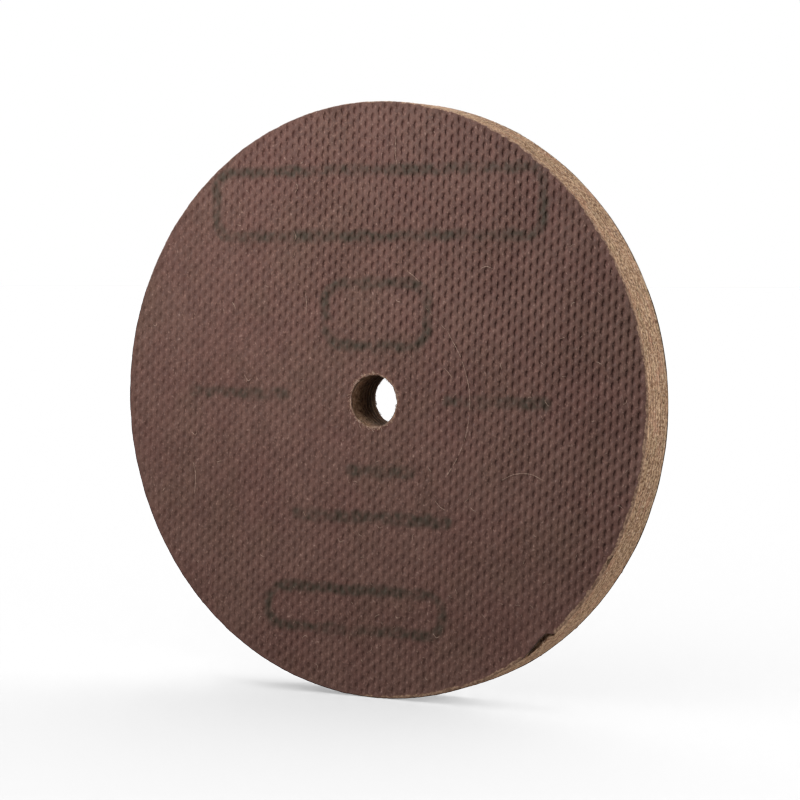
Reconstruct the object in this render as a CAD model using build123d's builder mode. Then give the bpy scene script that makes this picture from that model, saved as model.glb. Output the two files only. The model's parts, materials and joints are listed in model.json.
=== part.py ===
from build123d import *
import os

# A pressed, laminated abrasive polishing wheel with a plain arbor hole.
#
# Frame: the origin is the wheel's centre, halfway through its thickness. The wheel turns about
# the Y axis, +Z is up, and the front face looks along -Y. All lengths are millimetres.
#
# The wheel is one pressed stack of discs, listed here from the front face to the back face:
#   front_facing    thin rubber-rich skin that carries the press cloth's imprint
#   bond_film_1     cement between the skin and the first ply
#   core_ply_1 ...  fibre plies filled with rubber and grit, with a bond film between each two
#   bond_film_9     cement between the last ply and the back skin
#   back_facing     the same skin as in front

INCH = 25.4

# Driving dimensions
wheel_diameter = 3 * INCH
wheel_thickness = INCH / 4
arbor_diameter = INCH / 4
arbor_clearance = 0.175  # radial gap between the arbor and the bore's wall
skin_thickness = 0.25
bond_thickness = 0.05
core_ply_count = 8
edge_radius = 0.2  # rounding of each skin's outer edge

# A chip torn out of the front face's rim, at angles in degrees from +X towards +Z
chip_start_angle = -56.1
chip_corner_angle = -49.0
chip_end_angle = -47.4
chip_depth = 0.85  # from the rim in to the tear's corner
chip_scoop = 0.12  # how deep the tear bites into the first core ply
chip_overshoot = 1.0  # the chip's outline reaches this far outside the rim

# Derived dimensions
wheel_radius = wheel_diameter / 2
bore_radius = arbor_diameter / 2 + arbor_clearance
bond_film_count = core_ply_count + 1
core_thickness = wheel_thickness - 2 * skin_thickness - bond_film_count * bond_thickness
ply_thickness = core_thickness / core_ply_count
layer_pitch = ply_thickness + bond_thickness
first_ply_depth = skin_thickness + bond_thickness


def face_plane(depth):
    """The plane at this depth behind the front face. Its normal points forwards, along -Y."""
    return Plane.XZ.offset(wheel_thickness / 2 - depth)


def face_point(radius, angle):
    """A point of a face plane, from its radius and its angle in degrees."""
    return Vector(radius, 0).rotate(Axis.Z, angle)


def draw_ring():
    """Draw the wheel's outline and its bore in the sketch that is being made."""
    Circle(wheel_radius)
    Circle(bore_radius, mode=Mode.SUBTRACT)


def outer_edges(disc):
    """The two outer rim edges of a disc, the front one first."""
    circles = disc.edges().filter_by(GeomType.CIRCLE)
    return circles.group_by(SortBy.RADIUS)[-1].sort_by(Axis.Y)


def finish_piece(piece, name):
    """Label a piece and write it as its own STEP file."""
    piece.part.label = name
    export_step(piece.part, f"parts/{name}.step")
    print(f"{name}: {piece.part.volume:.1f} mm3")


os.makedirs("parts", exist_ok=True)

chip_outline = [
    face_point(wheel_radius, chip_start_angle),
    face_point(wheel_radius - chip_depth, chip_corner_angle),
    face_point(wheel_radius, chip_end_angle),
    face_point(wheel_radius + chip_overshoot, chip_end_angle),
    face_point(wheel_radius + chip_overshoot, chip_start_angle),
]

# Front skin: its outer edge is rounded, then the chip is torn right through it
with BuildPart() as front_facing:
    with BuildSketch(face_plane(skin_thickness)):
        draw_ring()
    extrude(amount=skin_thickness)
    fillet(outer_edges(front_facing)[0], radius=edge_radius)
    with BuildSketch(face_plane(skin_thickness)):
        Polygon(*chip_outline, align=None)
    extrude(amount=skin_thickness, mode=Mode.SUBTRACT)
finish_piece(front_facing, "front_facing")

# Back skin: the same skin, whole, with its rounded edge at the back
with BuildPart() as back_facing:
    with BuildSketch(face_plane(wheel_thickness)):
        draw_ring()
    extrude(amount=skin_thickness)
    fillet(outer_edges(back_facing)[-1], radius=edge_radius)
finish_piece(back_facing, "back_facing")

# Core plies, numbered from the front. The chip scoops a little out of the first one.
for index in range(core_ply_count):
    ply_depth = first_ply_depth + index * layer_pitch
    with BuildPart() as core_ply:
        with BuildSketch(face_plane(ply_depth + ply_thickness)):
            draw_ring()
        extrude(amount=ply_thickness)
        if index == 0:
            with BuildSketch(face_plane(ply_depth + chip_scoop)):
                Polygon(*chip_outline, align=None)
            extrude(amount=chip_scoop, mode=Mode.SUBTRACT)
    finish_piece(core_ply, f"core_ply_{index + 1}")

# Bond films, numbered from the front. The chip goes right through the first one.
for index in range(bond_film_count):
    film_depth = skin_thickness + index * layer_pitch
    with BuildPart() as bond_film:
        with BuildSketch(face_plane(film_depth + bond_thickness)):
            draw_ring()
        extrude(amount=bond_thickness)
        if index == 0:
            with BuildSketch(face_plane(film_depth + bond_thickness)):
                Polygon(*chip_outline, align=None)
            extrude(amount=bond_thickness, mode=Mode.SUBTRACT)
    finish_piece(bond_film, f"bond_film_{index + 1}")
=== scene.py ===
import json
import math

import bmesh
import bpy
import numpy as np
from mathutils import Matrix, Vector


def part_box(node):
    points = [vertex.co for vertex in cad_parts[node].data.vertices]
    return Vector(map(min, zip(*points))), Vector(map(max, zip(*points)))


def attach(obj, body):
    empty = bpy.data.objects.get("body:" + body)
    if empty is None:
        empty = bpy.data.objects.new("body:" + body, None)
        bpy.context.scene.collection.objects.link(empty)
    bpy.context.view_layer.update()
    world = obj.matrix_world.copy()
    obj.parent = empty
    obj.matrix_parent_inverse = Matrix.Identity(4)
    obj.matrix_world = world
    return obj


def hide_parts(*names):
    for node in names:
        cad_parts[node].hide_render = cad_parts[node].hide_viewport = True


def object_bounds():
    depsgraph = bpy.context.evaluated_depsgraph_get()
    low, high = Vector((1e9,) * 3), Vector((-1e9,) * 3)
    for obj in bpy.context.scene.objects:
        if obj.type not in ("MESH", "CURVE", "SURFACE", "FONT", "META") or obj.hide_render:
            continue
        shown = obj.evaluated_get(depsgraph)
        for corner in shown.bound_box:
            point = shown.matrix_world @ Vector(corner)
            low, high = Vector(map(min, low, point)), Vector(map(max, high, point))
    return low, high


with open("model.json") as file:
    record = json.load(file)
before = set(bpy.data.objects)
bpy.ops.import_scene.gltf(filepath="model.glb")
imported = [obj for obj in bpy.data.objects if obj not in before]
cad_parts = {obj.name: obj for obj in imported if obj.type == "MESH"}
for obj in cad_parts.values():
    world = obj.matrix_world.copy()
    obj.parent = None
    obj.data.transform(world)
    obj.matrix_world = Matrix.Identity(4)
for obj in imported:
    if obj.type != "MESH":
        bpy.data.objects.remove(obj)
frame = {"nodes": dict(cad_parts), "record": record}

# A laminated abrasive polishing wheel. The wheel turns about Y, +Z is up, and the front face
# looks along -Y. Meshes are worked out in millimetres and written to Blender in metres.
#
# "Depth" is the distance behind the front face, or in front of the back face on the back skin.

MM = 0.001
cad_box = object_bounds()

# Every piece of the wheel, so that a light can be kept to the wheel alone
wheel_pieces = bpy.data.collections.new("wheel_pieces")
bpy.context.scene.collection.children.link(wheel_pieces)

# ---------------------------------------------------------------------------------------------
# Sizes from the frame

WHEEL_R = cad_box[1].z / MM
THICKNESS = (cad_box[1].y - cad_box[0].y) / MM
BORE_R = next(m for m in frame["record"]["mounts"] if m["name"] == "bore")["dims"]["r_mm"]
SKIN = (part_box("front_facing")[1].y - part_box("front_facing")[0].y) / MM
FRONT_Y = -THICKNESS / 2
PLY_COUNT = sum(name.startswith("core_ply_") for name in frame["nodes"])
FILM_COUNT = sum(name.startswith("bond_film_") for name in frame["nodes"])

# The press cloth: a plain weave, slightly out of square with the wheel
COLUMN_PITCH = 0.902
ROW_PITCH = 0.818
CLOTH_TILT = math.radians(-2.64)
COLUMN_SAMPLES = 4  # mesh steps for each thread column
ROW_SAMPLES = 3.5  # mesh steps for each thread row
WARP_PIT_DEPTH = 0.2
WEFT_PIT_DEPTH = 0.02
GROOVE_DEPTH = 0.035  # the shallow furrow down each thread column
DEEPEST = 0.22  # no part of the imprint goes deeper than this

# Edges of the skins
BACK_ROUNDING = 0.18
TORN_ROUNDING = 0.05
BORE_ROUNDING = 0.12
BORE_WEAR = 0.56  # how worn the skins are round the bore, from 0 to 1
CUT_DEPTH = 0.15  # the skins' sides show their inside below this depth
# Painted shade: the tear's side is painted dark below this depth
TEAR_SHADE_DEPTH = 0.03  # the tear is dark below this depth

# The chip torn out of the front skin, as in the CAD, in degrees from +X towards +Z
CHIP_START = math.radians(-56.1)
CHIP_CORNER = math.radians(-49.0)
CHIP_END = math.radians(-47.4)
CHIP_DEPTH = 0.85
LIP_LIFT = 0.04  # how far the torn lip stands proud
LIP_REACH = 0.9  # how far in from the tear the lip is lifted
LIP_FADE = 0.06  # the angle over which the lift rises from the chip's long end, in radians
NICK_ANGLE = math.radians(-29.6)
NICK_WIDTH = 0.5
NICK_DEPTH = 0.35

# Mesh steps round the wheel
RIM_STEPS = 2400
BORE_STEPS = 260


# ---------------------------------------------------------------------------------------------
# Smooth random fields

def smoothstep(low, high, value):
    """0 below low, 1 above high, and a smooth ramp between them."""
    t = np.clip((value - low) / (high - low), 0, 1)
    return t * t * (3 - 2 * t)


def noise(x, y, size_x, size_y, seed, period=None):
    """A smooth random field from -1 to 1 with features size_x by size_y across.

    With a period, the field repeats along x at that length.
    """
    columns = 128 if period is None else max(3, round(period / size_x))
    rows = 128
    table = np.random.default_rng(seed).uniform(-1, 1, (columns, rows))
    scaled_x = np.asarray(x) * (columns / period if period else 1 / size_x)
    scaled_y = np.asarray(y) / size_y
    cell_x, cell_y = np.floor(scaled_x).astype(int), np.floor(scaled_y).astype(int)
    tx, ty = scaled_x - cell_x, scaled_y - cell_y
    tx, ty = tx * tx * (3 - 2 * tx), ty * ty * (3 - 2 * ty)
    near_x, far_x = cell_x % columns, (cell_x + 1) % columns
    near_y, far_y = cell_y % rows, (cell_y + 1) % rows
    near = table[near_x, near_y] * (1 - ty) + table[near_x, far_y] * ty
    far = table[far_x, near_y] * (1 - ty) + table[far_x, far_y] * ty
    return near * (1 - tx) + far * tx


# ---------------------------------------------------------------------------------------------
# Mesh helpers

def build_object(name, points, faces, material, attributes=None, sharp_angle=50):
    """A closed smooth-shaded mesh object from points in millimetres, riding on the wheel."""
    mesh = bpy.data.meshes.new(name)
    mesh.from_pydata((np.asarray(points) * MM).tolist(), [], faces)
    for attribute_name, values in (attributes or {}).items():
        attribute = mesh.attributes.new(attribute_name, "FLOAT", "POINT")
        attribute.data.foreach_set("value", np.asarray(values, np.float32))
    sheet = bmesh.new()
    sheet.from_mesh(mesh)
    bmesh.ops.recalc_face_normals(sheet, faces=sheet.faces)
    sheet.to_mesh(mesh)
    sheet.free()
    mesh.shade_smooth()
    mesh.set_sharp_from_angle(angle=math.radians(sharp_angle))
    mesh.materials.append(material)
    obj = bpy.data.objects.new(name, mesh)
    wheel_pieces.objects.link(obj)
    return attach(obj, "root")


def loop_quads(loop_a, loop_b):
    """Quads between two closed loops of vertices with the same count."""
    count = len(loop_a)
    following = [(i + 1) % count for i in range(count)]
    return [(loop_a[i], loop_a[j], loop_b[j], loop_b[i]) for i, j in enumerate(following)]


def stitch_loops(loop_a, angles_a, loop_b, angles_b):
    """Triangles between two closed loops of different counts, both in order of angle."""
    faces = []
    i = j = 0
    count_a, count_b = len(loop_a), len(loop_b)
    full_turn = 2 * math.pi
    while i < count_a or j < count_b:
        next_a = angles_a[(i + 1) % count_a] + full_turn * ((i + 1) // count_a)
        next_b = angles_b[(j + 1) % count_b] + full_turn * ((j + 1) // count_b)
        corner_a, corner_b = loop_a[i % count_a], loop_b[j % count_b]
        if j >= count_b or (i < count_a and next_a <= next_b):
            faces.append((corner_a, loop_a[(i + 1) % count_a], corner_b))
            i += 1
        else:
            faces.append((corner_a, loop_b[(j + 1) % count_b], corner_b))
            j += 1
    return faces


# ---------------------------------------------------------------------------------------------
# The skins' outline

def chip_radius(angle):
    """The radius of the torn skin's edge at an angle: the chip's two straight sides."""
    angle = np.asarray(angle)
    corner = np.array([math.cos(CHIP_CORNER), math.sin(CHIP_CORNER)]) * (WHEEL_R - CHIP_DEPTH)
    radius = np.full(angle.shape, WHEEL_R)
    for end in (CHIP_START, CHIP_END):
        tip = np.array([math.cos(end), math.sin(end)]) * WHEEL_R
        along = corner - tip
        normal = np.array([-along[1], along[0]])
        low, high = sorted((end, CHIP_CORNER))
        inside = (angle >= low) & (angle <= high)
        reach = (normal @ tip) / (np.cos(angle) * normal[0] + np.sin(angle) * normal[1])
        radius = np.where(inside, np.minimum(radius, reach), radius)
    return radius


def chip_share(angle):
    """1 along the chip and 0 away from it."""
    rise = smoothstep(CHIP_START - 0.004, CHIP_START + 0.01, angle)
    return rise * (1 - smoothstep(CHIP_END - 0.006, CHIP_END + 0.004, angle))


def torn_lift(angle):
    """How far the torn lip is lifted: 1 in the middle of the chip, falling to 0 at its ends."""
    rise = smoothstep(CHIP_START, CHIP_START + LIP_FADE, angle)
    return rise * (1 - smoothstep(CHIP_CORNER, CHIP_END, angle))


def worn_width(angle):
    """How far in from the rim the front skin is worn through: little on the left, most lower right."""
    around = (angle % (2 * math.pi)) * WHEEL_R
    turn = 2 * math.pi * WHEEL_R
    to_right = smoothstep(-0.2, 0.2, np.cos(angle))
    to_lower_right = to_right * smoothstep(math.radians(-15), math.radians(45), -angle)
    uneven = 0.07 * noise(around, 0, 2.2, 1, 15, turn) + 0.09 * noise(around, 0, 0.7, 1, 16, turn)
    return 0.02 + 0.12 * to_right + 0.3 * to_lower_right + uneven * (0.3 + 0.7 * to_right)


def front_rounding(angle):
    """The width of the front skin's rounded edge, which is crisp along the tear."""
    worn = 0.14 + 0.9 * np.maximum(worn_width(angle), 0)
    return worn + (TORN_ROUNDING - worn) * chip_share(angle)


def front_edge_radius(angle):
    """The front skin's outer radius: a little ragged, torn at the chip, with a small nick."""
    around = (angle % (2 * math.pi)) * WHEEL_R
    turn = 2 * math.pi * WHEEL_R
    ragged = 0.035 + 0.03 * noise(around, 0, 1.5, 1, 11, turn) + 0.02 * noise(around, 0, 0.4, 1, 12, turn)
    nick_offset = (angle - NICK_ANGLE) * WHEEL_R / NICK_WIDTH
    nick = NICK_DEPTH * np.exp(-nick_offset ** 2)
    torn = chip_radius(angle) + 0.05 * chip_share(angle) * noise(around, 0, 0.35, 1, 13, turn)
    return np.minimum(WHEEL_R - ragged - nick, torn)


def back_rounding(angle):
    return np.full(np.shape(angle), BACK_ROUNDING)


def back_edge_radius(angle):
    """The back skin's outer radius, worn unevenly."""
    around = (angle % (2 * math.pi)) * WHEEL_R
    turn = 2 * math.pi * WHEEL_R
    return WHEEL_R - 0.035 - 0.03 * noise(around, 0, 2.5, 1, 21, turn)


def bore_edge_radius(angle):
    """The radius of a skin's ragged edge round the bore."""
    around = (angle % (2 * math.pi)) * BORE_R
    turn = 2 * math.pi * BORE_R
    return BORE_R + 0.03 + 0.05 * noise(around, 0, 0.5, 1, 31, turn)


# ---------------------------------------------------------------------------------------------
# The cloth's imprint

def pit(across, along, half_width, half_length):
    """The shape of one thread's pit, 1 at its middle and falling off smoothly."""
    return np.exp(-(np.abs(across / half_width) ** 2.2 + np.abs(along / half_length) ** 2.4))


def imprint_depth(u, v, seed):
    """Depth of the cloth's imprint at thread counts u (columns) and v (rows)."""
    table = np.random.default_rng(seed).uniform(-1, 1, (160, 160))
    depth = np.zeros_like(u)
    column, row = np.round(u).astype(int), np.round(v).astype(int)
    for di in (-1, 0, 1):
        for dj in (-1, 0, 1):
            i, j = column + di, row + dj
            even = (i + j) % 2 == 0
            uneven = 1 + 0.38 * table[i % 160, j % 160]
            warp = WARP_PIT_DEPTH * pit(u - i, v - j, 0.36, 0.62)
            weft = WEFT_PIT_DEPTH * pit(u - i, v - j, 0.52, 0.34)
            depth += uneven * np.where(even, warp, weft)
    groove = GROOVE_DEPTH * np.exp(-((u - column) / 0.3) ** 2)
    return depth + groove


def press_strength(x, z):
    """How hard the cloth was pressed in: harder towards the upper right of the face."""
    return 0.44 + 0.56 * smoothstep(-10, 23, 0.6 * x + 0.8 * z)


def cloth_grid(reach, seed):
    """The face's mesh points on the cloth's own lattice, as columns u and rows v, and x and z."""
    u_line = np.arange(-round(reach / COLUMN_PITCH) - 2, round(reach / COLUMN_PITCH) + 2,
                       1 / COLUMN_SAMPLES)
    v_line = np.arange(-round(reach / ROW_PITCH / 2) * 2 - 4, round(reach / ROW_PITCH / 2) * 2 + 4,
                       1 / ROW_SAMPLES)
    u, v = np.meshgrid(u_line, v_line, indexing="ij")
    drift_u = 0.09 * noise(u, v, 9, 9, seed) + 0.06 * noise(u, v, 1.3, 40, seed + 1)
    drift_v = 0.09 * noise(u, v, 9, 9, seed + 2) + 0.06 * noise(u, v, 40, 1.3, seed + 3)
    along_u, along_v = (u + drift_u) * COLUMN_PITCH, (v + drift_v) * ROW_PITCH
    x = along_u * math.cos(CLOTH_TILT) - along_v * math.sin(CLOTH_TILT)
    z = along_u * math.sin(CLOTH_TILT) + along_v * math.cos(CLOTH_TILT)
    return u, v, x, z


# ---------------------------------------------------------------------------------------------
# Worn ink: blank stamp frames and bars, with no lettering

# Each bar: middle x, middle z, half length, half height, and True for an outline
INK_LINE = 0.68  # half the ink line's width
INK_CORNER = 2.4  # rounding of a frame's corners
INK_MARKS = (
    (0, 25.2, 24, 4.2, True),
    (0.3, 11, 7.4, 4, True),
    (-20.5, 0.6, 8, 0.75, False),
    (17.5, 0.2, 7.5, 0.75, False),
    (1, -9, 5, 0.8, False),
    (-0.5, -15, 12, 0.8, False),
    (-3, -27, 13, 2.6, True),
)


def ink_amount(x, z):
    """How much faded ink lies at a point of the front face, from 0 to 1."""
    amount = np.zeros_like(x)
    for middle_x, middle_z, half_length, half_height, outline in INK_MARKS:
        corner = min(half_height, INK_CORNER)
        out_x = np.abs(x - middle_x) - half_length + corner
        out_z = np.abs(z - middle_z) - half_height + corner
        outside = np.hypot(np.maximum(out_x, 0), np.maximum(out_z, 0))
        distance = outside + np.minimum(np.maximum(out_x, out_z), 0) - corner
        edge = np.abs(distance) - INK_LINE if outline else distance
        edge = edge + 0.22 * noise(x, z, 1.3, 1.3, 43)
        amount = np.maximum(amount, 1 - smoothstep(-0.45, 0.4, edge))
    patchy = 0.78 + 0.4 * noise(x, z, 3.4, 3.4, 41) + 0.45 * noise(x, z, 0.9, 0.9, 42)
    return amount * np.clip(patchy, 0, 1)


# ---------------------------------------------------------------------------------------------
# Skins

def build_skin(name, node, edge_radius, rounding, side, seed, material):
    """One cloth-marked skin as a closed mesh. side is -1 for the front and +1 for the back."""
    is_front = side < 0
    u, v, x, z = cloth_grid(WHEEL_R, seed)
    if side > 0:
        x = -x
    angle, radius = np.arctan2(z, x), np.hypot(x, z)
    edge = edge_radius(angle) - rounding(angle)
    hole = bore_edge_radius(angle) + BORE_ROUNDING

    # Keep the cells whose middles lie on the face
    def cell_mean(values):
        return (values[:-1, :-1] + values[1:, :-1] + values[:-1, 1:] + values[1:, 1:]) / 4

    middle_x, middle_z = cell_mean(x), cell_mean(z)
    middle_angle, middle_r = np.arctan2(middle_z, middle_x), np.hypot(middle_x, middle_z)
    kept = middle_r < edge_radius(middle_angle) - rounding(middle_angle) - 0.02
    kept &= middle_r > bore_edge_radius(middle_angle) + BORE_ROUNDING + 0.02
    number = np.arange(x.size).reshape(x.shape)
    quads = np.stack([number[:-1, :-1], number[1:, :-1], number[1:, 1:], number[:-1, 1:]], -1)[kept]

    # A vertex with fewer than four kept cells round it is on an edge, and moves onto it
    uses = np.bincount(quads.ravel(), minlength=x.size).reshape(x.shape)
    on_edge = (uses > 0) & (uses < 4)
    on_rim = on_edge & (radius > WHEEL_R / 2)
    on_bore = on_edge & (radius < WHEEL_R / 2)
    radius = np.where(on_rim, edge, np.where(on_bore, hole, radius))
    x, z = radius * np.cos(angle), radius * np.sin(angle)

    # Relief: the imprint fades out towards the worn rim and round the bore
    fade = 1 - 0.7 * smoothstep(WHEEL_R - 0.9, WHEEL_R - 0.2, radius)
    fade *= smoothstep(BORE_R, BORE_R + 0.8, radius)
    strength = 1 + 0.16 * noise(x, z, 7, 7, seed + 5) + 0.1 * noise(x, z, 2.4, 2.4, seed + 6)
    press = press_strength(x, z) * fade * strength
    imprint = imprint_depth(u, v, seed + 7) * press
    grain = 0.007 * noise(x, z, 0.33, 0.33, seed + 8) + 0.006 * noise(x, z, 0.6, 1.6, seed + 9)
    swell = 0.03 * noise(x, z, 16, 16, seed + 10)
    depth = DEEPEST * np.tanh(np.maximum(imprint + grain + swell + 0.02, 0) / DEEPEST)
    sag = 0.05 * (1 - smoothstep(BORE_R, BORE_R + 0.7, radius))
    depth = depth + sag
    if is_front:
        lift = torn_lift(angle) * (1 - smoothstep(0, LIP_REACH, chip_radius(angle) - radius))
        depth = depth * (1 - lift) - LIP_LIFT * lift

    def worn(angles, radii):
        """Where the skin is worn through at its outer edge, from 0 to 1."""
        if not is_front:
            return np.zeros_like(radii)
        speckle = 0.12 * noise(radii * np.cos(angles), radii * np.sin(angles), 0.3, 0.3, seed + 12)
        inset = WHEEL_R - radii + speckle
        return smoothstep(-0.12, 0.12, worn_width(angles) - inset) * (1 - chip_share(angles))

    bore_wear = BORE_WEAR - BORE_WEAR * smoothstep(BORE_R + 0.1, BORE_R + 0.85,
                                                   radius + 0.3 * noise(x, z, 0.5, 0.5, seed + 13))
    wear = np.maximum(worn(angle, radius), bore_wear)

    used = np.flatnonzero(uses)
    renumber = np.full(x.size, -1)
    renumber[used] = np.arange(len(used))
    points = np.stack([x, side * (THICKNESS / 2 - depth), z], -1).reshape(-1, 3)[used]
    faces = renumber[quads].tolist()
    relief = [np.clip(1 - (imprint / WARP_PIT_DEPTH), 0, 1).ravel()[used]]
    wears = [wear.ravel()[used]]
    inks = [(ink_amount(x, z) if is_front else np.zeros_like(x)).ravel()[used]]
    cuts = [np.zeros(len(used))]
    tears = [np.zeros(len(used))]
    columns, rows, presses = [u.ravel()[used]], [v.ravel()[used]], [press.ravel()[used]]

    def edge_loop(mask):
        """The edge vertices, in order of angle, and their angles."""
        found = np.flatnonzero(mask)
        found = found[np.argsort(angle.ravel()[found])]
        return renumber[found].tolist(), angle.ravel()[found]

    def add_rows(loop, angles, radii_and_depths, outwards, row_wear):
        """Rows of quads from an edge loop down over the rounding, as far as the skin's back."""
        nonlocal points, faces
        first_loop = loop
        start_depth = THICKNESS / 2 - side * points[loop, 1]
        for share, row_depth in radii_and_depths:
            row_radius = outwards(angles, share)
            blend = row_depth / SKIN
            depths = start_depth * (1 - blend) + (row_depth + 0.0 * angles) * blend
            depths = np.where(depths < start_depth, start_depth + 0.01 * blend, depths)
            row = np.stack([row_radius * np.cos(angles), side * (THICKNESS / 2 - depths),
                            row_radius * np.sin(angles)], -1)
            new_loop = list(range(len(points), len(points) + len(row)))
            points = np.vstack([points, row])
            faces += loop_quads(loop, new_loop)
            relief.append(np.ones(len(row)))
            wears.append(row_wear(angles, row_radius))
            cuts.append(np.full(len(row), float(row_depth > CUT_DEPTH)))
            # Painted shade: rows on the chip's torn side below that depth are marked to be painted dark
            in_tear_shade = is_front and row_depth > TEAR_SHADE_DEPTH
            tears.append(chip_share(angles) * (row_radius > WHEEL_R - 2 * CHIP_DEPTH) * float(in_tear_shade))
            inks.append(np.zeros(len(row)))
            columns.append(columns[0][first_loop])
            rows.append(rows[0][first_loop])
            presses.append(np.zeros(len(row)))
            loop = new_loop
        return loop

    rim_loop, rim_angles = edge_loop(on_rim)
    bore_loop, bore_angles = edge_loop(on_bore)
    rim_rows = ((0.35, 0.015), (0.65, 0.05), (0.88, 0.11), (1, 0.18), (1, SKIN))
    bore_rows = ((0.6, 0.05), (1, 0.12), (1, SKIN))
    rim_last = add_rows(rim_loop, rim_angles, rim_rows,
                        lambda a, share: edge_radius(a) - rounding(a) * (1 - share), worn)
    bore_last = add_rows(bore_loop, bore_angles, bore_rows,
                         lambda a, share: bore_edge_radius(a) + BORE_ROUNDING * (1 - share),
                         lambda a, radii: np.full_like(radii, BORE_WEAR))
    faces += stitch_loops(rim_last, rim_angles, bore_last, bore_angles)

    attributes = {"relief": np.concatenate(relief), "wear": np.concatenate(wears),
                  "ink": np.concatenate(inks), "thread_u": np.concatenate(columns),
                  "thread_v": np.concatenate(rows), "press": np.concatenate(presses),
                  "cut": np.concatenate(cuts), "torn": np.concatenate(tears)}
    obj = build_object(name, points, faces, material, attributes)
    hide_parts(node)
    return obj


# ---------------------------------------------------------------------------------------------
# Core plies and bond films

def rim_relief(around, depth):
    """How far the cut rim's fibres and grit pits stand in from the wheel's radius."""
    turn = 2 * math.pi * WHEEL_R
    fibres = 0.012 * noise(around, depth, 0.9, 0.1, 51, turn)
    fibres += 0.012 * noise(around, depth, 0.35, 0.2, 52, turn)
    grains = 0.028 * noise(around, depth, 0.25, 0.3, 53, turn)
    pits = 0.12 * smoothstep(0.48, 0.92, noise(around, depth, 0.3, 0.34, 54, turn))
    waves = 0.02 * noise(around, depth, 9, 2.5, 55, turn)
    return np.maximum(0.03 + fibres + grains + waves, 0) + pits


def bore_relief(around, depth):
    """How far the drilled bore's fibres and torn pits stand back from the bore's radius."""
    turn = 2 * math.pi * BORE_R
    fibres = 0.035 * noise(around, depth, 0.6, 0.12, 61, turn)
    tears = 0.1 * smoothstep(0.45, 0.95, noise(around, depth, 0.5, 0.35, 62, turn))
    return np.maximum(0.035 + fibres, 0) + tears


def chip_floor(angle, radius):
    """How far the torn first ply lies below its own face: a scoop, deepest along the tear."""
    share = chip_share(angle)
    gap = radius - chip_radius(angle)
    floor = 0.14 * smoothstep(-0.35, 0.1, gap)
    trench = 0.4 * np.exp(-((gap - 0.06) / 0.2) ** 2)
    rough = 0.05 * noise(angle * WHEEL_R, radius, 0.3, 0.2, 71)
    return share * np.maximum(floor + trench + rough * smoothstep(-0.3, 0, gap), 0)


def build_ring(name, node, front_depth, back_depth, rows, material, recess, torn=False,
               outer_radius=None):
    """One ply or film as a closed ring with a fibrous rim and bore.

    recess stands the rim in a little at the ring's two faces, which draws the seam line.
    """
    rim_angles = np.linspace(-math.pi, math.pi, RIM_STEPS, endpoint=False)
    bore_angles = np.linspace(-math.pi, math.pi, BORE_STEPS, endpoint=False)
    points, faces = [], []

    def add_loop(angles, radii, depths):
        start = sum(len(p) for p in points)
        points.append(np.stack([radii * np.cos(angles), FRONT_Y + depths + 0 * angles,
                                radii * np.sin(angles)], -1))
        return list(range(start, start + len(angles)))

    edge = (WHEEL_R if outer_radius is None else outer_radius(rim_angles)) + 0 * rim_angles
    rim_loops = []
    for step in range(rows + 1):
        share = step / rows
        depths = front_depth + (back_depth - front_depth) * share
        if torn:
            dip = chip_floor(rim_angles, np.full_like(rim_angles, WHEEL_R))
            depths = depths + dip * (1 - share)
        seam = recess * (2 * abs(share - 0.5)) ** 4
        around = (rim_angles + math.pi) * WHEEL_R
        rim_loops.append(add_loop(rim_angles, edge - seam - rim_relief(around, depths), depths))
    bore_loops = []
    for step in range(rows + 1):
        share = step / rows
        depths = front_depth + (back_depth - front_depth) * share + 0 * bore_angles
        around = (bore_angles + math.pi) * BORE_R
        bore_loops.append(add_loop(bore_angles, BORE_R + bore_relief(around, depths), depths))
    for loops in (rim_loops, bore_loops):
        for loop_a, loop_b in zip(loops, loops[1:]):
            faces += loop_quads(loop_a, loop_b)

    front_loop = rim_loops[0]
    if torn:
        # Extra rows on the front face, where the chip bares it
        for inset in (0.08, 0.2, 0.34, 0.48, 0.62, 0.76, 0.9, 1.05, 1.25, 1.5):
            radii = np.full_like(rim_angles, WHEEL_R - inset)
            new_loop = add_loop(rim_angles, radii, front_depth + chip_floor(rim_angles, radii))
            faces += loop_quads(front_loop, new_loop)
            front_loop = new_loop
    faces += stitch_loops(front_loop, rim_angles, bore_loops[0], bore_angles)
    faces += stitch_loops(rim_loops[-1], rim_angles, bore_loops[-1], bore_angles)
    obj = build_object(name, np.vstack(points), faces, material)
    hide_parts(node)
    return obj


def node_depths(node):
    """The front and back depths of a CAD node."""
    low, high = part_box(node)
    return low.y / MM - FRONT_Y, high.y / MM - FRONT_Y


def film_edge(angle):
    """The first film's outer radius: it tears off just inside the skin's edge at the chip."""
    return np.minimum(WHEEL_R - 0.01, chip_radius(angle) - 0.12 * chip_share(angle))


def build_core(core_material, film_material):
    """All the core plies and bond films."""
    for k in range(1, PLY_COUNT + 1):
        node = f"core_ply_{k}"
        front, back = node_depths(node)
        build_ring(f"fibre_ply_{k}", node, front, back, 8, core_material, 0.02,
                   torn=(k == 1))
    for k in range(1, FILM_COUNT + 1):
        node = f"bond_film_{k}"
        front, back = node_depths(node)
        build_ring(f"bond_line_{k}", node, front, back, 1, film_material, 0.0,
                   outer_radius=film_edge if k == 1 else None)


# ---------------------------------------------------------------------------------------------
# Loose fibres and lint

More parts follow.
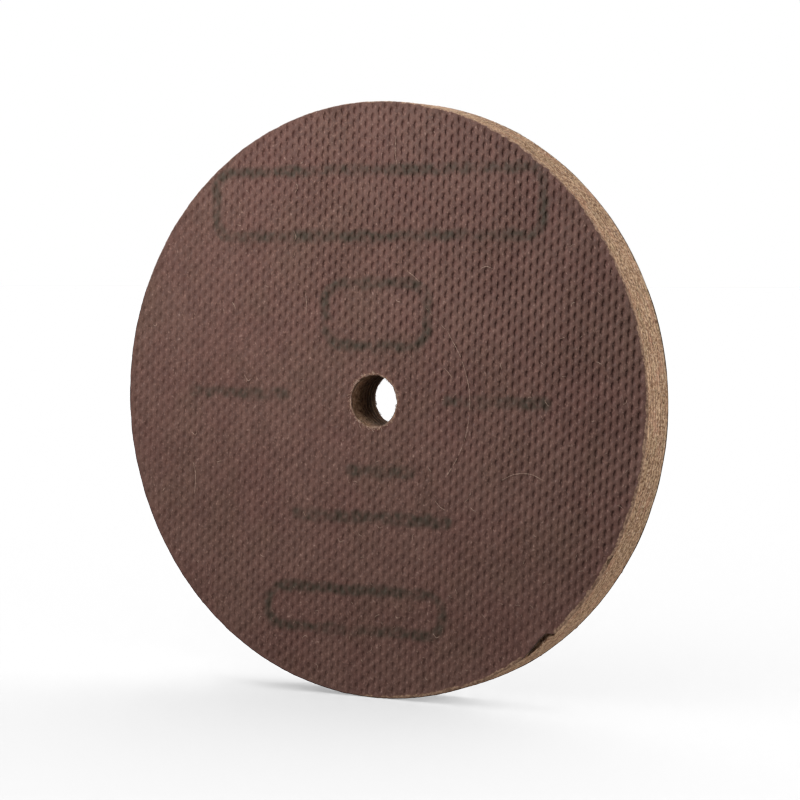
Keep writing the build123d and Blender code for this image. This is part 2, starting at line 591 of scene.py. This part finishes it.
def tube_mesh(path, radius, sides=5):
    """Points and faces of a closed thin tube along a path, tapering to its two ends."""
    path = np.asarray(path, float)
    count = len(path)
    tangent = np.gradient(path, axis=0)
    tangent /= np.linalg.norm(tangent, axis=1)[:, None]
    across = np.cross(tangent, (0.0, 1.0, 0.0))
    across /= np.maximum(np.linalg.norm(across, axis=1), 1e-6)[:, None]
    upward = np.cross(across, tangent)
    taper = np.sin(np.linspace(0.12, math.pi - 0.12, count)) ** 0.35
    turns = np.linspace(0, 2 * math.pi, sides, endpoint=False)
    ring = (across[:, None] * np.cos(turns)[None, :, None]
            + upward[:, None] * np.sin(turns)[None, :, None])
    points = (path[:, None] + ring * (radius * taper)[:, None, None]).reshape(-1, 3)
    faces = []
    for step in range(count - 1):
        loop_a = list(range(step * sides, (step + 1) * sides))
        loop_b = list(range((step + 1) * sides, (step + 2) * sides))
        faces += loop_quads(loop_a, loop_b)
    faces.append(tuple(range(sides)))
    faces.append(tuple(reversed(range((count - 1) * sides, count * sides))))
    return points, faces


def smooth_path(corners, steps):
    """A smooth curve through given points, by Catmull-Rom."""
    corners = np.asarray(corners, float)
    padded = np.vstack([2 * corners[0] - corners[1], corners, 2 * corners[-1] - corners[-2]])
    pieces = []
    for k in range(len(corners) - 1):
        p0, p1, p2, p3 = padded[k:k + 4]
        t = np.linspace(0, 1, steps, endpoint=(k == len(corners) - 2))[:, None]
        pieces.append(0.5 * (2 * p1 + (p2 - p0) * t + (2 * p0 - 5 * p1 + 4 * p2 - p3) * t ** 2
                             + (3 * p1 - p0 - 3 * p2 + p3) * t ** 3))
    return np.vstack(pieces)


def lay_on_face(flat_path, height):
    """Lift a path of face x and z onto the front face, height above it."""
    flat_path = np.asarray(flat_path)
    return np.stack([flat_path[:, 0], FRONT_Y + 0.03 - height + 0 * flat_path[:, 0],
                     flat_path[:, 1]], -1)


def join_tubes(name, tubes, material):
    """One object from many tubes, each a path and a radius."""
    points, faces = [], []
    total = 0
    for path, radius in tubes:
        tube_points, tube_faces = tube_mesh(path, radius)
        points.append(tube_points)
        faces += [tuple(index + total for index in face) for face in tube_faces]
        total += len(tube_points)
    obj = build_object(name, np.vstack(points), faces, material, sharp_angle=80)
    return obj


# The long hair shows as these lengths, as shares of its path, with their radii
HAIR_LENGTHS = ((0, 0.03, 0.02), (0.06, 0.08, 0.022), (0.11, 0.125, 0.018), (0.16, 0.185, 0.024),
                (0.215, 0.4, 0.022), (0.42, 0.62, 0.026), (0.645, 0.76, 0.022),
                (0.785, 0.87, 0.024), (0.89, 0.94, 0.024), (0.96, 1, 0.032))


def build_long_hair(material):
    """The long pale hair that curves round the bore on the right, pressed in here and there."""
    corners = ((7.7, 11.9), (8.8, 10.7), (10.6, 9.1), (11.2, 8.2), (12.6, 5.8), (13.7, 2.4),
               (13.9, -0.4), (13.5, -3.5), (12.8, -5.5), (12.0, -7.1), (10.7, -9.1))
    rng = np.random.default_rng(80)
    flat = smooth_path(corners, 14)
    flat += rng.normal(0, 0.012, flat.shape)
    tubes = []
    for start, end, radius in HAIR_LENGTHS:
        part = flat[round(start * (len(flat) - 1)):round(end * (len(flat) - 1)) + 1]
        lift = 0.03 + 0.02 * np.sin(np.arange(len(part)) * 1.3)
        tubes.append((lay_on_face(part, lift), radius))
    return join_tubes("lint_long_hair", tubes, material)


def curl(rng, start, heading, length, bend, steps=8):
    """A short wandering path of face x and z."""
    path = [np.array(start, float)]
    for _ in range(steps - 1):
        heading += rng.normal(0, bend)
        step = length / (steps - 1)
        path.append(path[-1] + step * np.array([math.cos(heading), math.sin(heading)]))
    return np.array(path)


def build_lint(material):
    """Short loose fibres lying on the front face: chosen ones, then a seeded scatter."""
    rng = np.random.default_rng(90)
    chosen = (
        ((3.3, 33.5), (3.2, 31.6), (3.4, 30.0)),
        ((-11.6, 27.9), (-11.3, 27.4), (-11.7, 26.7)),
        ((-11.9, 21.8), (-11.6, 21.0), (-11.9, 20.3)),
        ((-19.6, 2.9), (-19.0, 2.2), (-18.5, 2.6)),
        ((-21.5, 12.5), (-21.1, 12.0), (-21.0, 11.5)),
        ((-10.2, 14.0), (-10.0, 12.4), (-10.1, 11.0)),
        ((-27.7, -8.9), (-27.4, -10.8), (-27.6, -13.0)),
        ((-28.0, -4.8), (-27.4, -5.2), (-27.2, -4.6)),
        ((18.4, -9.4), (20.2, -8.6), (22.4, -8.5), (24.2, -9.2)),
        ((9.0, -12.4), (9.7, -13.1), (10.4, -13.5)),
        ((4.9, 16.6), (5.9, 15.9), (6.7, 15.2)),
        ((-5.3, -17.8), (-5.0, -18.3), (-4.5, -18.1)),
        ((0.4, -15.8), (0.9, -16.2), (1.3, -16.0)),
        ((-10.8, -31.2), (-10.3, -30.8), (-9.9, -31.0)),
        ((8.7, -29.2), (9.2, -29.7), (9.6, -29.5)),
        ((15.5, 16.9), (16.3, 17.1), (17.2, 16.8)),
        ((10.3, 4.4), (11.0, 3.7), (11.5, 3.0)),
    )
    tubes = [(lay_on_face(smooth_path(corners, 6), 0.04), 0.024) for corners in chosen]
    for _ in range(330):
        radius = 36.5 * math.sqrt(rng.uniform(0.02, 1))
        angle = rng.uniform(-math.pi, math.pi)
        x, z = radius * math.cos(angle), radius * math.sin(angle)
        if rng.uniform() > 0.12 + 0.7 * float(smoothstep(-6, 25, 0.6 * x - 0.8 * z)):
            continue
        path = curl(rng, (x, z), rng.uniform(-math.pi, math.pi), rng.uniform(0.25, 0.95), 0.35, 6)
        tubes.append((lay_on_face(path, 0.03), rng.uniform(0.012, 0.024)))
    return join_tubes("lint_short_fibres", tubes, material)


def build_bore_fuzz(material, side, name, seed):
    """Cut fibre ends that stand out round the bore's edge on one face."""
    rng = np.random.default_rng(seed)
    tubes = []
    for _ in range(150):
        angle = rng.uniform(-math.pi, math.pi)
        radius = BORE_R + rng.uniform(-0.02, 0.3)
        heading = angle + rng.normal(math.pi / 2, 0.7)
        flat = curl(rng, (radius * math.cos(angle), radius * math.sin(angle)), heading,
                    rng.uniform(0.2, 0.6), 0.3, 6)
        reach = np.linalg.norm(flat, axis=1)
        flat *= (np.maximum(reach, BORE_R - 0.02) / reach)[:, None]
        lift = rng.uniform(-0.06, 0.02) + rng.uniform(0, 0.08) * np.sin(np.linspace(0, 2, 6))
        y = side * (THICKNESS / 2 + lift)
        tubes.append((np.stack([flat[:, 0], y, flat[:, 1]], -1), rng.uniform(0.012, 0.024)))
    return join_tubes(name, tubes, material)


def build_rim_fuzz(material):
    """Fine fibre ends that stand out of the cut rim and the skins' worn edges."""
    rng = np.random.default_rng(110)
    tubes = []
    for _ in range(900):
        angle = rng.uniform(-math.pi, math.pi)
        depth = rng.uniform(0.15, THICKNESS - 0.15)
        length = rng.uniform(0.2, 0.8)
        t = np.linspace(0, 1, 5)
        lift = -0.03 + rng.uniform(0.02, 0.05) * np.sin(t * math.pi * rng.uniform(0.6, 1))
        turn = angle + t * length / WHEEL_R
        y = FRONT_Y + np.clip(depth + t * rng.normal(0, 0.12), 0.1, THICKNESS - 0.1)
        radii = WHEEL_R + lift
        tubes.append((np.stack([radii * np.cos(turn), y, radii * np.sin(turn)], -1),
                      rng.uniform(0.01, 0.02)))
    return join_tubes("rim_fibre_ends", tubes, material)


# ---------------------------------------------------------------------------------------------
# Materials

def srgb(red, green, blue):
    """A linear colour with alpha from 8-bit display values."""
    def linear(value):
        value /= 255
        return value / 12.92 if value <= 0.04045 else ((value + 0.055) / 1.055) ** 2.4
    return (linear(red), linear(green), linear(blue), 1)


class Nodes:
    """A small helper that adds shader nodes to one material."""

    def __init__(self, name):
        self.material = bpy.data.materials.new(name)
        self.material.use_nodes = True
        self.tree = self.material.node_tree
        self.shader = self.tree.nodes["Principled BSDF"]
        coordinates = self.add("ShaderNodeTexCoord")
        self.place = self.scaled(coordinates.outputs["Object"], (1 / MM, 1 / MM, 1 / MM))

    def add(self, kind, **settings):
        node = self.tree.nodes.new(kind)
        for key, value in settings.items():
            setattr(node, key, value)
        return node

    def link(self, source, target):
        self.tree.links.new(source, target)

    def scaled(self, vector, scale):
        """A vector times a fixed scale along X, Y and Z."""
        node = self.add("ShaderNodeVectorMath", operation="MULTIPLY")
        self.link(vector, node.inputs[0])
        node.inputs[1].default_value = scale
        return node.outputs["Vector"]

    def noise(self, scale, detail=2.0, roughness=0.5, offset=0.0):
        """Noise over the object, from 0 to 1. scale is cycles per millimetre on X, Y and Z."""
        vector = self.scaled(self.place, scale)
        moved = self.add("ShaderNodeVectorMath", operation="ADD")
        self.link(vector, moved.inputs[0])
        moved.inputs[1].default_value = (offset, offset, offset)
        node = self.add("ShaderNodeTexNoise")
        node.inputs["Scale"].default_value = 1
        node.inputs["Detail"].default_value = detail
        node.inputs["Roughness"].default_value = roughness
        self.link(moved.outputs["Vector"], node.inputs["Vector"])
        return node.outputs["Fac"]

    def ramp(self, source, low, high, out_low=0.0, out_high=1.0):
        """Map a value smoothly from low..high to out_low..out_high, clamped."""
        node = self.add("ShaderNodeMapRange", interpolation_type="SMOOTHSTEP")
        self.link(source, node.inputs["Value"])
        node.inputs["From Min"].default_value = low
        node.inputs["From Max"].default_value = high
        node.inputs["To Min"].default_value = out_low
        node.inputs["To Max"].default_value = out_high
        return node.outputs["Result"]

    def attribute(self, name):
        node = self.add("ShaderNodeAttribute", attribute_name=name)
        return node.outputs["Fac"]

    def math(self, operation, first, second):
        node = self.add("ShaderNodeMath", operation=operation)
        for socket, value in zip(node.inputs, (first, second)):
            if isinstance(value, (int, float)):
                socket.default_value = value
            else:
                self.link(value, socket)
        return node.outputs["Value"]

    def mix(self, factor, first, second, blend="MIX"):
        """Mix two colours, each a socket or a fixed colour."""
        node = self.add("ShaderNodeMix", data_type="RGBA", blend_type=blend)
        if isinstance(factor, (int, float)):
            node.inputs["Factor"].default_value = factor
        else:
            self.link(factor, node.inputs["Factor"])
        for socket, colour in ((node.inputs[6], first), (node.inputs[7], second)):
            if isinstance(colour, tuple):
                socket.default_value = colour
            else:
                self.link(colour, socket)
        return node.outputs[2]

    def bump(self, height, distance, strength, normal=None):
        """Bump from a height, which is distance millimetres at 1."""
        node = self.add("ShaderNodeBump")
        node.inputs["Strength"].default_value = strength
        node.inputs["Distance"].default_value = distance * MM
        self.link(height, node.inputs["Height"])
        if normal is not None:
            self.link(normal, node.inputs["Normal"])
        return node.outputs["Normal"]

    def set(self, **values):
        """Fixed values on the shader's own sockets."""
        for key, value in values.items():
            self.shader.inputs[key.replace("_", " ")].default_value = value

    def finish(self, colour, roughness, normal):
        self.link(colour, self.shader.inputs["Base Color"])
        self.link(roughness, self.shader.inputs["Roughness"])
        self.link(normal, self.shader.inputs["Normal"])
        return self.material


def thread_height(nodes):
    """The cloth's imprint from the thread counts: 1 on the lands, 0 at a warp pit's middle.

    It is finer than the mesh, and sharpens the pits that the mesh already has.
    """
    u = nodes.math("MULTIPLY", nodes.attribute("thread_u"), math.pi)
    v = nodes.math("MULTIPLY", nodes.attribute("thread_v"), math.pi)
    crossing = nodes.math("MULTIPLY", nodes.math("COSINE", u, 0), nodes.math("COSINE", v, 0))
    column = nodes.math("COSINE", nodes.math("MULTIPLY", u, 2.0), 0)
    both = nodes.math("ADD", crossing, nodes.math("MULTIPLY", column, 0.85))
    pit_share = nodes.math("MULTIPLY", nodes.ramp(both, -0.2, 1.7), nodes.attribute("press"))
    return nodes.math("SUBTRACT", 1.0, pit_share)


def skin_material():
    """Plum-brown pressed rubber and fibre, with redder pits partly darkened by painted shade, worn edges,
    faded ink, and a painted shadow on the chip's torn side.
    """
    nodes = Nodes("pressed_skin")
    land, pit_tint_and_shade = srgb(94, 66, 57), srgb(88, 58, 50)
    threads = thread_height(nodes)
    relief = nodes.attribute("relief")
    # The pits are redder than the lands, the rubber's own tint, and a little darker as painted shade
    colour = nodes.mix(nodes.ramp(relief, 0.1, 0.8), pit_tint_and_shade, land)
    # Slow drifts between an olive brown and a plum brown
    drift = nodes.noise((0.11, 0.11, 0.11), 3, 0.6)
    colour = nodes.mix(nodes.ramp(drift, 0.35, 0.65, 0, 0.5), colour,
                       nodes.mix(1.0, colour, srgb(236, 214, 218), "MULTIPLY"))
    drift = nodes.noise((0.17, 0.17, 0.17), 2, 0.5, 31)
    colour = nodes.mix(nodes.ramp(drift, 0.42, 0.7, 0, 0.5), colour,
                       nodes.mix(1.0, colour, srgb(232, 236, 222), "MULTIPLY"))
    # Mottling from thread to thread, then fine fibre and grit
    mottle = nodes.noise((1.1, 1.1, 0.7), 2, 0.6, 7)
    colour = nodes.mix(nodes.ramp(mottle, 0.35, 0.65, 0, 0.5), colour,
                       nodes.mix(1.0, colour, srgb(200, 194, 192), "MULTIPLY"))
    fine = nodes.noise((4.8, 4.8, 3.2), 2, 0.65, 13)
    colour = nodes.mix(nodes.ramp(fine, 0.52, 0.74, 0, 0.55), colour, srgb(142, 110, 98))
    dust = nodes.noise((3.0, 3.0, 2.2), 1, 0.5, 57)
    colour = nodes.mix(nodes.ramp(dust, 0.68, 0.82, 0, 0.5), colour, srgb(160, 130, 118))
    dark = nodes.noise((4.2, 4.2, 2.6), 2, 0.6, 71)
    colour = nodes.mix(nodes.ramp(dark, 0.55, 0.75, 0, 0.6), colour, srgb(62, 40, 35))
    # Ink, held back where the cloth's lands wore it off
    ink_wear = nodes.ramp(nodes.noise((1.6, 1.6, 1.1), 2, 0.6, 23), 0.3, 0.6, 0.5, 1)
    ink = nodes.math("MULTIPLY", nodes.attribute("ink"), ink_wear)
    ink = nodes.math("MULTIPLY", ink, 0.92)
    colour = nodes.mix(ink, colour, srgb(48, 39, 27))
    # The worn rim and bore edge, going reddish and then tan
    wear = nodes.attribute("wear")
    colour = nodes.mix(nodes.ramp(wear, 0.05, 0.5, 0, 0.6), colour, srgb(90, 57, 48))
    fibre = nodes.mix(nodes.ramp(nodes.noise((2.2, 3.6, 2.2), 3, 0.7), 0.38, 0.62),
                      srgb(106, 80, 63), srgb(158, 129, 106))
    bare = nodes.math("ADD", wear, nodes.math("MULTIPLY", fine, 0.8))
    colour = nodes.mix(nodes.ramp(bare, 0.78, 1.12, 0, 0.92), colour, fibre)
    # The cut side of the skin shows its grey-brown inside
    cut = nodes.math("MULTIPLY", nodes.attribute("cut"), nodes.math("SUBTRACT", 1.0, wear))
    inside = nodes.mix(nodes.ramp(fine, 0.4, 0.6), srgb(84, 72, 60), srgb(122, 108, 92))
    colour = nodes.mix(cut, colour, inside)
    # Painted shade: the torn side of the chip is painted dark, as the shadow under the lifted lip
    colour = nodes.mix(nodes.attribute("torn"), colour, srgb(50, 36, 28))
    roughness = nodes.ramp(fine, 0.3, 0.7, 0.58, 0.8)
    grain = nodes.bump(fine, 0.045, 0.8)
    grain = nodes.bump(nodes.noise((2.6, 2.6, 1.7), 2, 0.6, 3), 0.07, 0.7, grain)
    normal = nodes.bump(threads, 0.15, 1.0, grain)
    nodes.set(Specular_IOR_Level=0.22, Sheen_Weight=0.03, Sheen_Roughness=0.6)
    return nodes.finish(colour, roughness, normal)


def core_material():
    """Tan fibre web filled with grit, cut across its plies, with the inside of the bore darkened by
    painted shade.
    """
    nodes = Nodes("fibre_core")
    # Short fibres and granules, only a little longer round the wheel than through it
    streak = nodes.noise((2.3, 2.6, 2.3), 3, 0.72)
    colour = nodes.mix(nodes.ramp(streak, 0.38, 0.62), srgb(124, 91, 66), srgb(196, 163, 132))
    broad = nodes.noise((0.06, 1.1, 0.06), 2, 0.5, 5)
    colour = nodes.mix(nodes.ramp(broad, 0.45, 0.65, 0, 0.5), colour,
                       nodes.mix(1.0, colour, srgb(206, 206, 196), "MULTIPLY"))
    flush = nodes.noise((0.3, 0.7, 0.3), 2, 0.5, 17)
    colour = nodes.mix(nodes.ramp(flush, 0.5, 0.72, 0, 0.45), colour, srgb(164, 118, 96))
    olive = nodes.noise((0.35, 0.9, 0.35), 2, 0.5, 37)
    colour = nodes.mix(nodes.ramp(olive, 0.52, 0.72, 0, 0.35), colour, srgb(150, 134, 102))
    # Dark reddish grit and torn pits
    grit = nodes.noise((2.5, 2.6, 2.5), 2, 0.6, 29)
    colour = nodes.mix(nodes.ramp(grit, 0.55, 0.65, 0, 0.85), colour, srgb(84, 53, 36))
    # Pale granules and fibre ends
    pale = nodes.noise((3.0, 3.4, 3.0), 2, 0.5, 43)
    colour = nodes.mix(nodes.ramp(pale, 0.58, 0.7, 0, 0.65), colour, srgb(208, 184, 160))
    # Rubber smeared from the front skin reddens the first ply's edge unevenly
    depth = nodes.add("ShaderNodeSeparateXYZ")
    nodes.link(nodes.place, depth.inputs["Vector"])
    uneven = nodes.math("MULTIPLY", nodes.noise((1.1, 1.1, 1.1), 3, 0.65, 61), 0.9)
    smeared = nodes.ramp(nodes.math("SUBTRACT", depth.outputs["Y"], uneven),
                         FRONT_Y - 0.3, FRONT_Y + 0.3, 0.45, 0)
    colour = nodes.mix(smeared, colour, srgb(134, 94, 75))
    # Painted shade in the bore: its wall is darkened, least at its front mouth and most further in, where
    # little light reaches
    radius = nodes.add("ShaderNodeVectorMath", operation="LENGTH")
    nodes.link(nodes.scaled(nodes.place, (1, 0, 1)), radius.inputs[0])
    shade_deeper_in = nodes.ramp(depth.outputs["Y"], FRONT_Y + 0.4, 1.2, 0.3, 1)
    bore_painted_shade = nodes.math("MULTIPLY", shade_deeper_in,
                          nodes.ramp(radius.outputs["Value"], BORE_R + 0.3, BORE_R + 1, 1, 0))
    colour = nodes.mix(bore_painted_shade, colour, nodes.mix(1.0, colour, srgb(100, 83, 58), "MULTIPLY"))
    roughness = nodes.ramp(streak, 0.3, 0.7, 0.82, 0.96)
    normal = nodes.bump(streak, 0.06, 0.7)
    normal = nodes.bump(grit, 0.09, 0.8, normal)
    nodes.set(Specular_IOR_Level=0.14, Sheen_Weight=0.03, Sheen_Roughness=0.7)
    return nodes.finish(colour, roughness, normal)


def film_material():
    """The rubber-rich cement between the plies, greyer and darker than the fibre."""
    nodes = Nodes("bond_cement")
    patch = nodes.noise((0.5, 4, 0.5), 3, 0.6)
    colour = nodes.mix(nodes.ramp(patch, 0.35, 0.65), srgb(104, 82, 62), srgb(156, 128, 102))
    roughness = nodes.ramp(patch, 0.3, 0.7, 0.7, 0.9)
    normal = nodes.bump(nodes.noise((3, 8, 3), 2, 0.5, 9), 0.03, 0.5)
    nodes.set(Specular_IOR_Level=0.25)
    return nodes.finish(colour, roughness, normal)


def lint_material():
    """Pale cotton fibre."""
    nodes = Nodes("cotton_lint")
    tint = nodes.noise((2.5, 2.5, 2.5), 2, 0.5)
    colour = nodes.mix(nodes.ramp(tint, 0.35, 0.65), srgb(150, 121, 105), srgb(190, 164, 146))
    roughness = nodes.ramp(tint, 0.3, 0.7, 0.7, 0.9)
    normal = nodes.bump(nodes.noise((20, 20, 20), 1, 0.5, 3), 0.01, 0.4)
    nodes.set(Specular_IOR_Level=0.3, Sheen_Weight=0.2)
    return nodes.finish(colour, roughness, normal)


# ---------------------------------------------------------------------------------------------
# Stage, lights and camera

CAMERA_AZIMUTH = math.radians(29.98)
CAMERA_ELEVATION = math.radians(2.81)
CAMERA_DISTANCE = 0.3272
CAMERA_LENS = 114.5
CAMERA_SHIFT = 0.0176
AMBIENT = 0.2
FLOOR_HALF = 9000
FLOOR_STEPS = 24

# Soft boxes: name, position and size in millimetres, and power in watts
LIGHTS = (
    ("key", (-25, -86, 56), 36, 0.1),
    ("key_far", (-560, -230, 290), 150, 3.1),
    ("rim_side", (350, 12, -227), 20, 0.76),
    ("bore_side", (300, -75, -25), 60, 0.1),
    ("top_soft", (190, 60, 400), 240, 1.75),
    ("back_soft", (-260, 400, 40), 300, 4.0),
)


def direction(azimuth, elevation):
    """The unit vector from the wheel towards a viewpoint, by azimuth and elevation."""
    return Vector((math.sin(azimuth) * math.cos(elevation),
                   -math.cos(azimuth) * math.cos(elevation), math.sin(elevation)))


def make_camera():
    data = bpy.data.cameras.new("view_camera")
    data.sensor_width = 36
    data.lens = CAMERA_LENS
    data.shift_x = CAMERA_SHIFT
    data.clip_start = 0.01
    data.clip_end = 20
    camera = bpy.data.objects.new("view_camera", data)
    toward = direction(CAMERA_AZIMUTH, CAMERA_ELEVATION)
    camera.location = toward * CAMERA_DISTANCE
    camera.rotation_mode = "QUATERNION"
    camera.rotation_quaternion = (-toward).to_track_quat("-Z", "Y")
    bpy.context.scene.collection.objects.link(camera)
    bpy.context.scene.camera = camera


def make_light(name, position, size, power):
    """A square soft box at a position in millimetres, aimed at the wheel.

    It lights only the wheel, and only the wheel shades it.
    """
    data = bpy.data.lights.new(name, "AREA")
    data.shape = "SQUARE"
    data.size = size * MM
    data.energy = power
    lamp = bpy.data.objects.new(name, data)
    lamp.location = Vector(position) * MM
    lamp.rotation_mode = "QUATERNION"
    lamp.rotation_quaternion = (-lamp.location).to_track_quat("-Z", "Y")
    bpy.context.scene.collection.objects.link(lamp)
    lamp.light_linking.receiver_collection = wheel_pieces
    lamp.light_linking.blocker_collection = wheel_pieces


def make_floor():
    """A plain pale floor under the wheel's lowest point."""
    level = cad_box[0].z / MM - 0.02
    line = np.linspace(-FLOOR_HALF, FLOOR_HALF, FLOOR_STEPS + 1)
    points = [(x, y, level) for x in line for y in line]
    faces = []
    for i in range(FLOOR_STEPS):
        for j in range(FLOOR_STEPS):
            corner = i * (FLOOR_STEPS + 1) + j
            beyond = corner + FLOOR_STEPS + 1
            faces.append((corner, corner + 1, beyond + 1, beyond))
    mesh = bpy.data.meshes.new("pale_floor")
    mesh.from_pydata((np.array(points) * MM).tolist(), [], faces)
    floor = bpy.data.objects.new("pale_floor", mesh)
    bpy.context.scene.collection.objects.link(floor)
    material = bpy.data.materials.new("floor_white")
    material.use_nodes = True
    shader = material.node_tree.nodes["Principled BSDF"]
    shader.inputs["Base Color"].default_value = (0.92, 0.92, 0.92, 1)
    shader.inputs["Roughness"].default_value = 0.9
    mesh.materials.append(material)
    floor.is_shadow_catcher = True


def make_world(ambient):
    """White behind the object, with a softer ambient light than the white that is seen."""
    world = bpy.data.worlds.new("studio")
    bpy.context.scene.world = world
    world.use_nodes = True
    tree = world.node_tree
    tree.nodes.clear()
    out = tree.nodes.new("ShaderNodeOutputWorld")
    seen, lit = tree.nodes.new("ShaderNodeBackground"), tree.nodes.new("ShaderNodeBackground")
    seen.inputs["Strength"].default_value = 1.0
    lit.inputs["Strength"].default_value = ambient
    for shade in (seen, lit):
        shade.inputs["Color"].default_value = (1, 1, 1, 1)
    path = tree.nodes.new("ShaderNodeLightPath")
    mix = tree.nodes.new("ShaderNodeMixShader")
    tree.links.new(path.outputs["Is Camera Ray"], mix.inputs["Fac"])
    tree.links.new(lit.outputs["Background"], mix.inputs[1])
    tree.links.new(seen.outputs["Background"], mix.inputs[2])
    tree.links.new(mix.outputs["Shader"], out.inputs["Surface"])


make_camera()
make_world(AMBIENT)
for light in LIGHTS:
    make_light(*light)
make_floor()
bpy.context.scene.view_settings.view_transform = "Standard"

skin = skin_material()
core = core_material()
film = film_material()
lint = lint_material()
build_skin("cloth_marked_front", "front_facing", front_edge_radius, front_rounding, -1, 100, skin)
build_skin("cloth_marked_back", "back_facing", back_edge_radius, back_rounding, 1, 200, skin)
build_core(core, film)
build_long_hair(lint)
build_lint(lint)
build_bore_fuzz(lint, -1, "bore_fuzz_front", 120)
build_bore_fuzz(lint, 1, "bore_fuzz_back", 130)
build_rim_fuzz(lint)
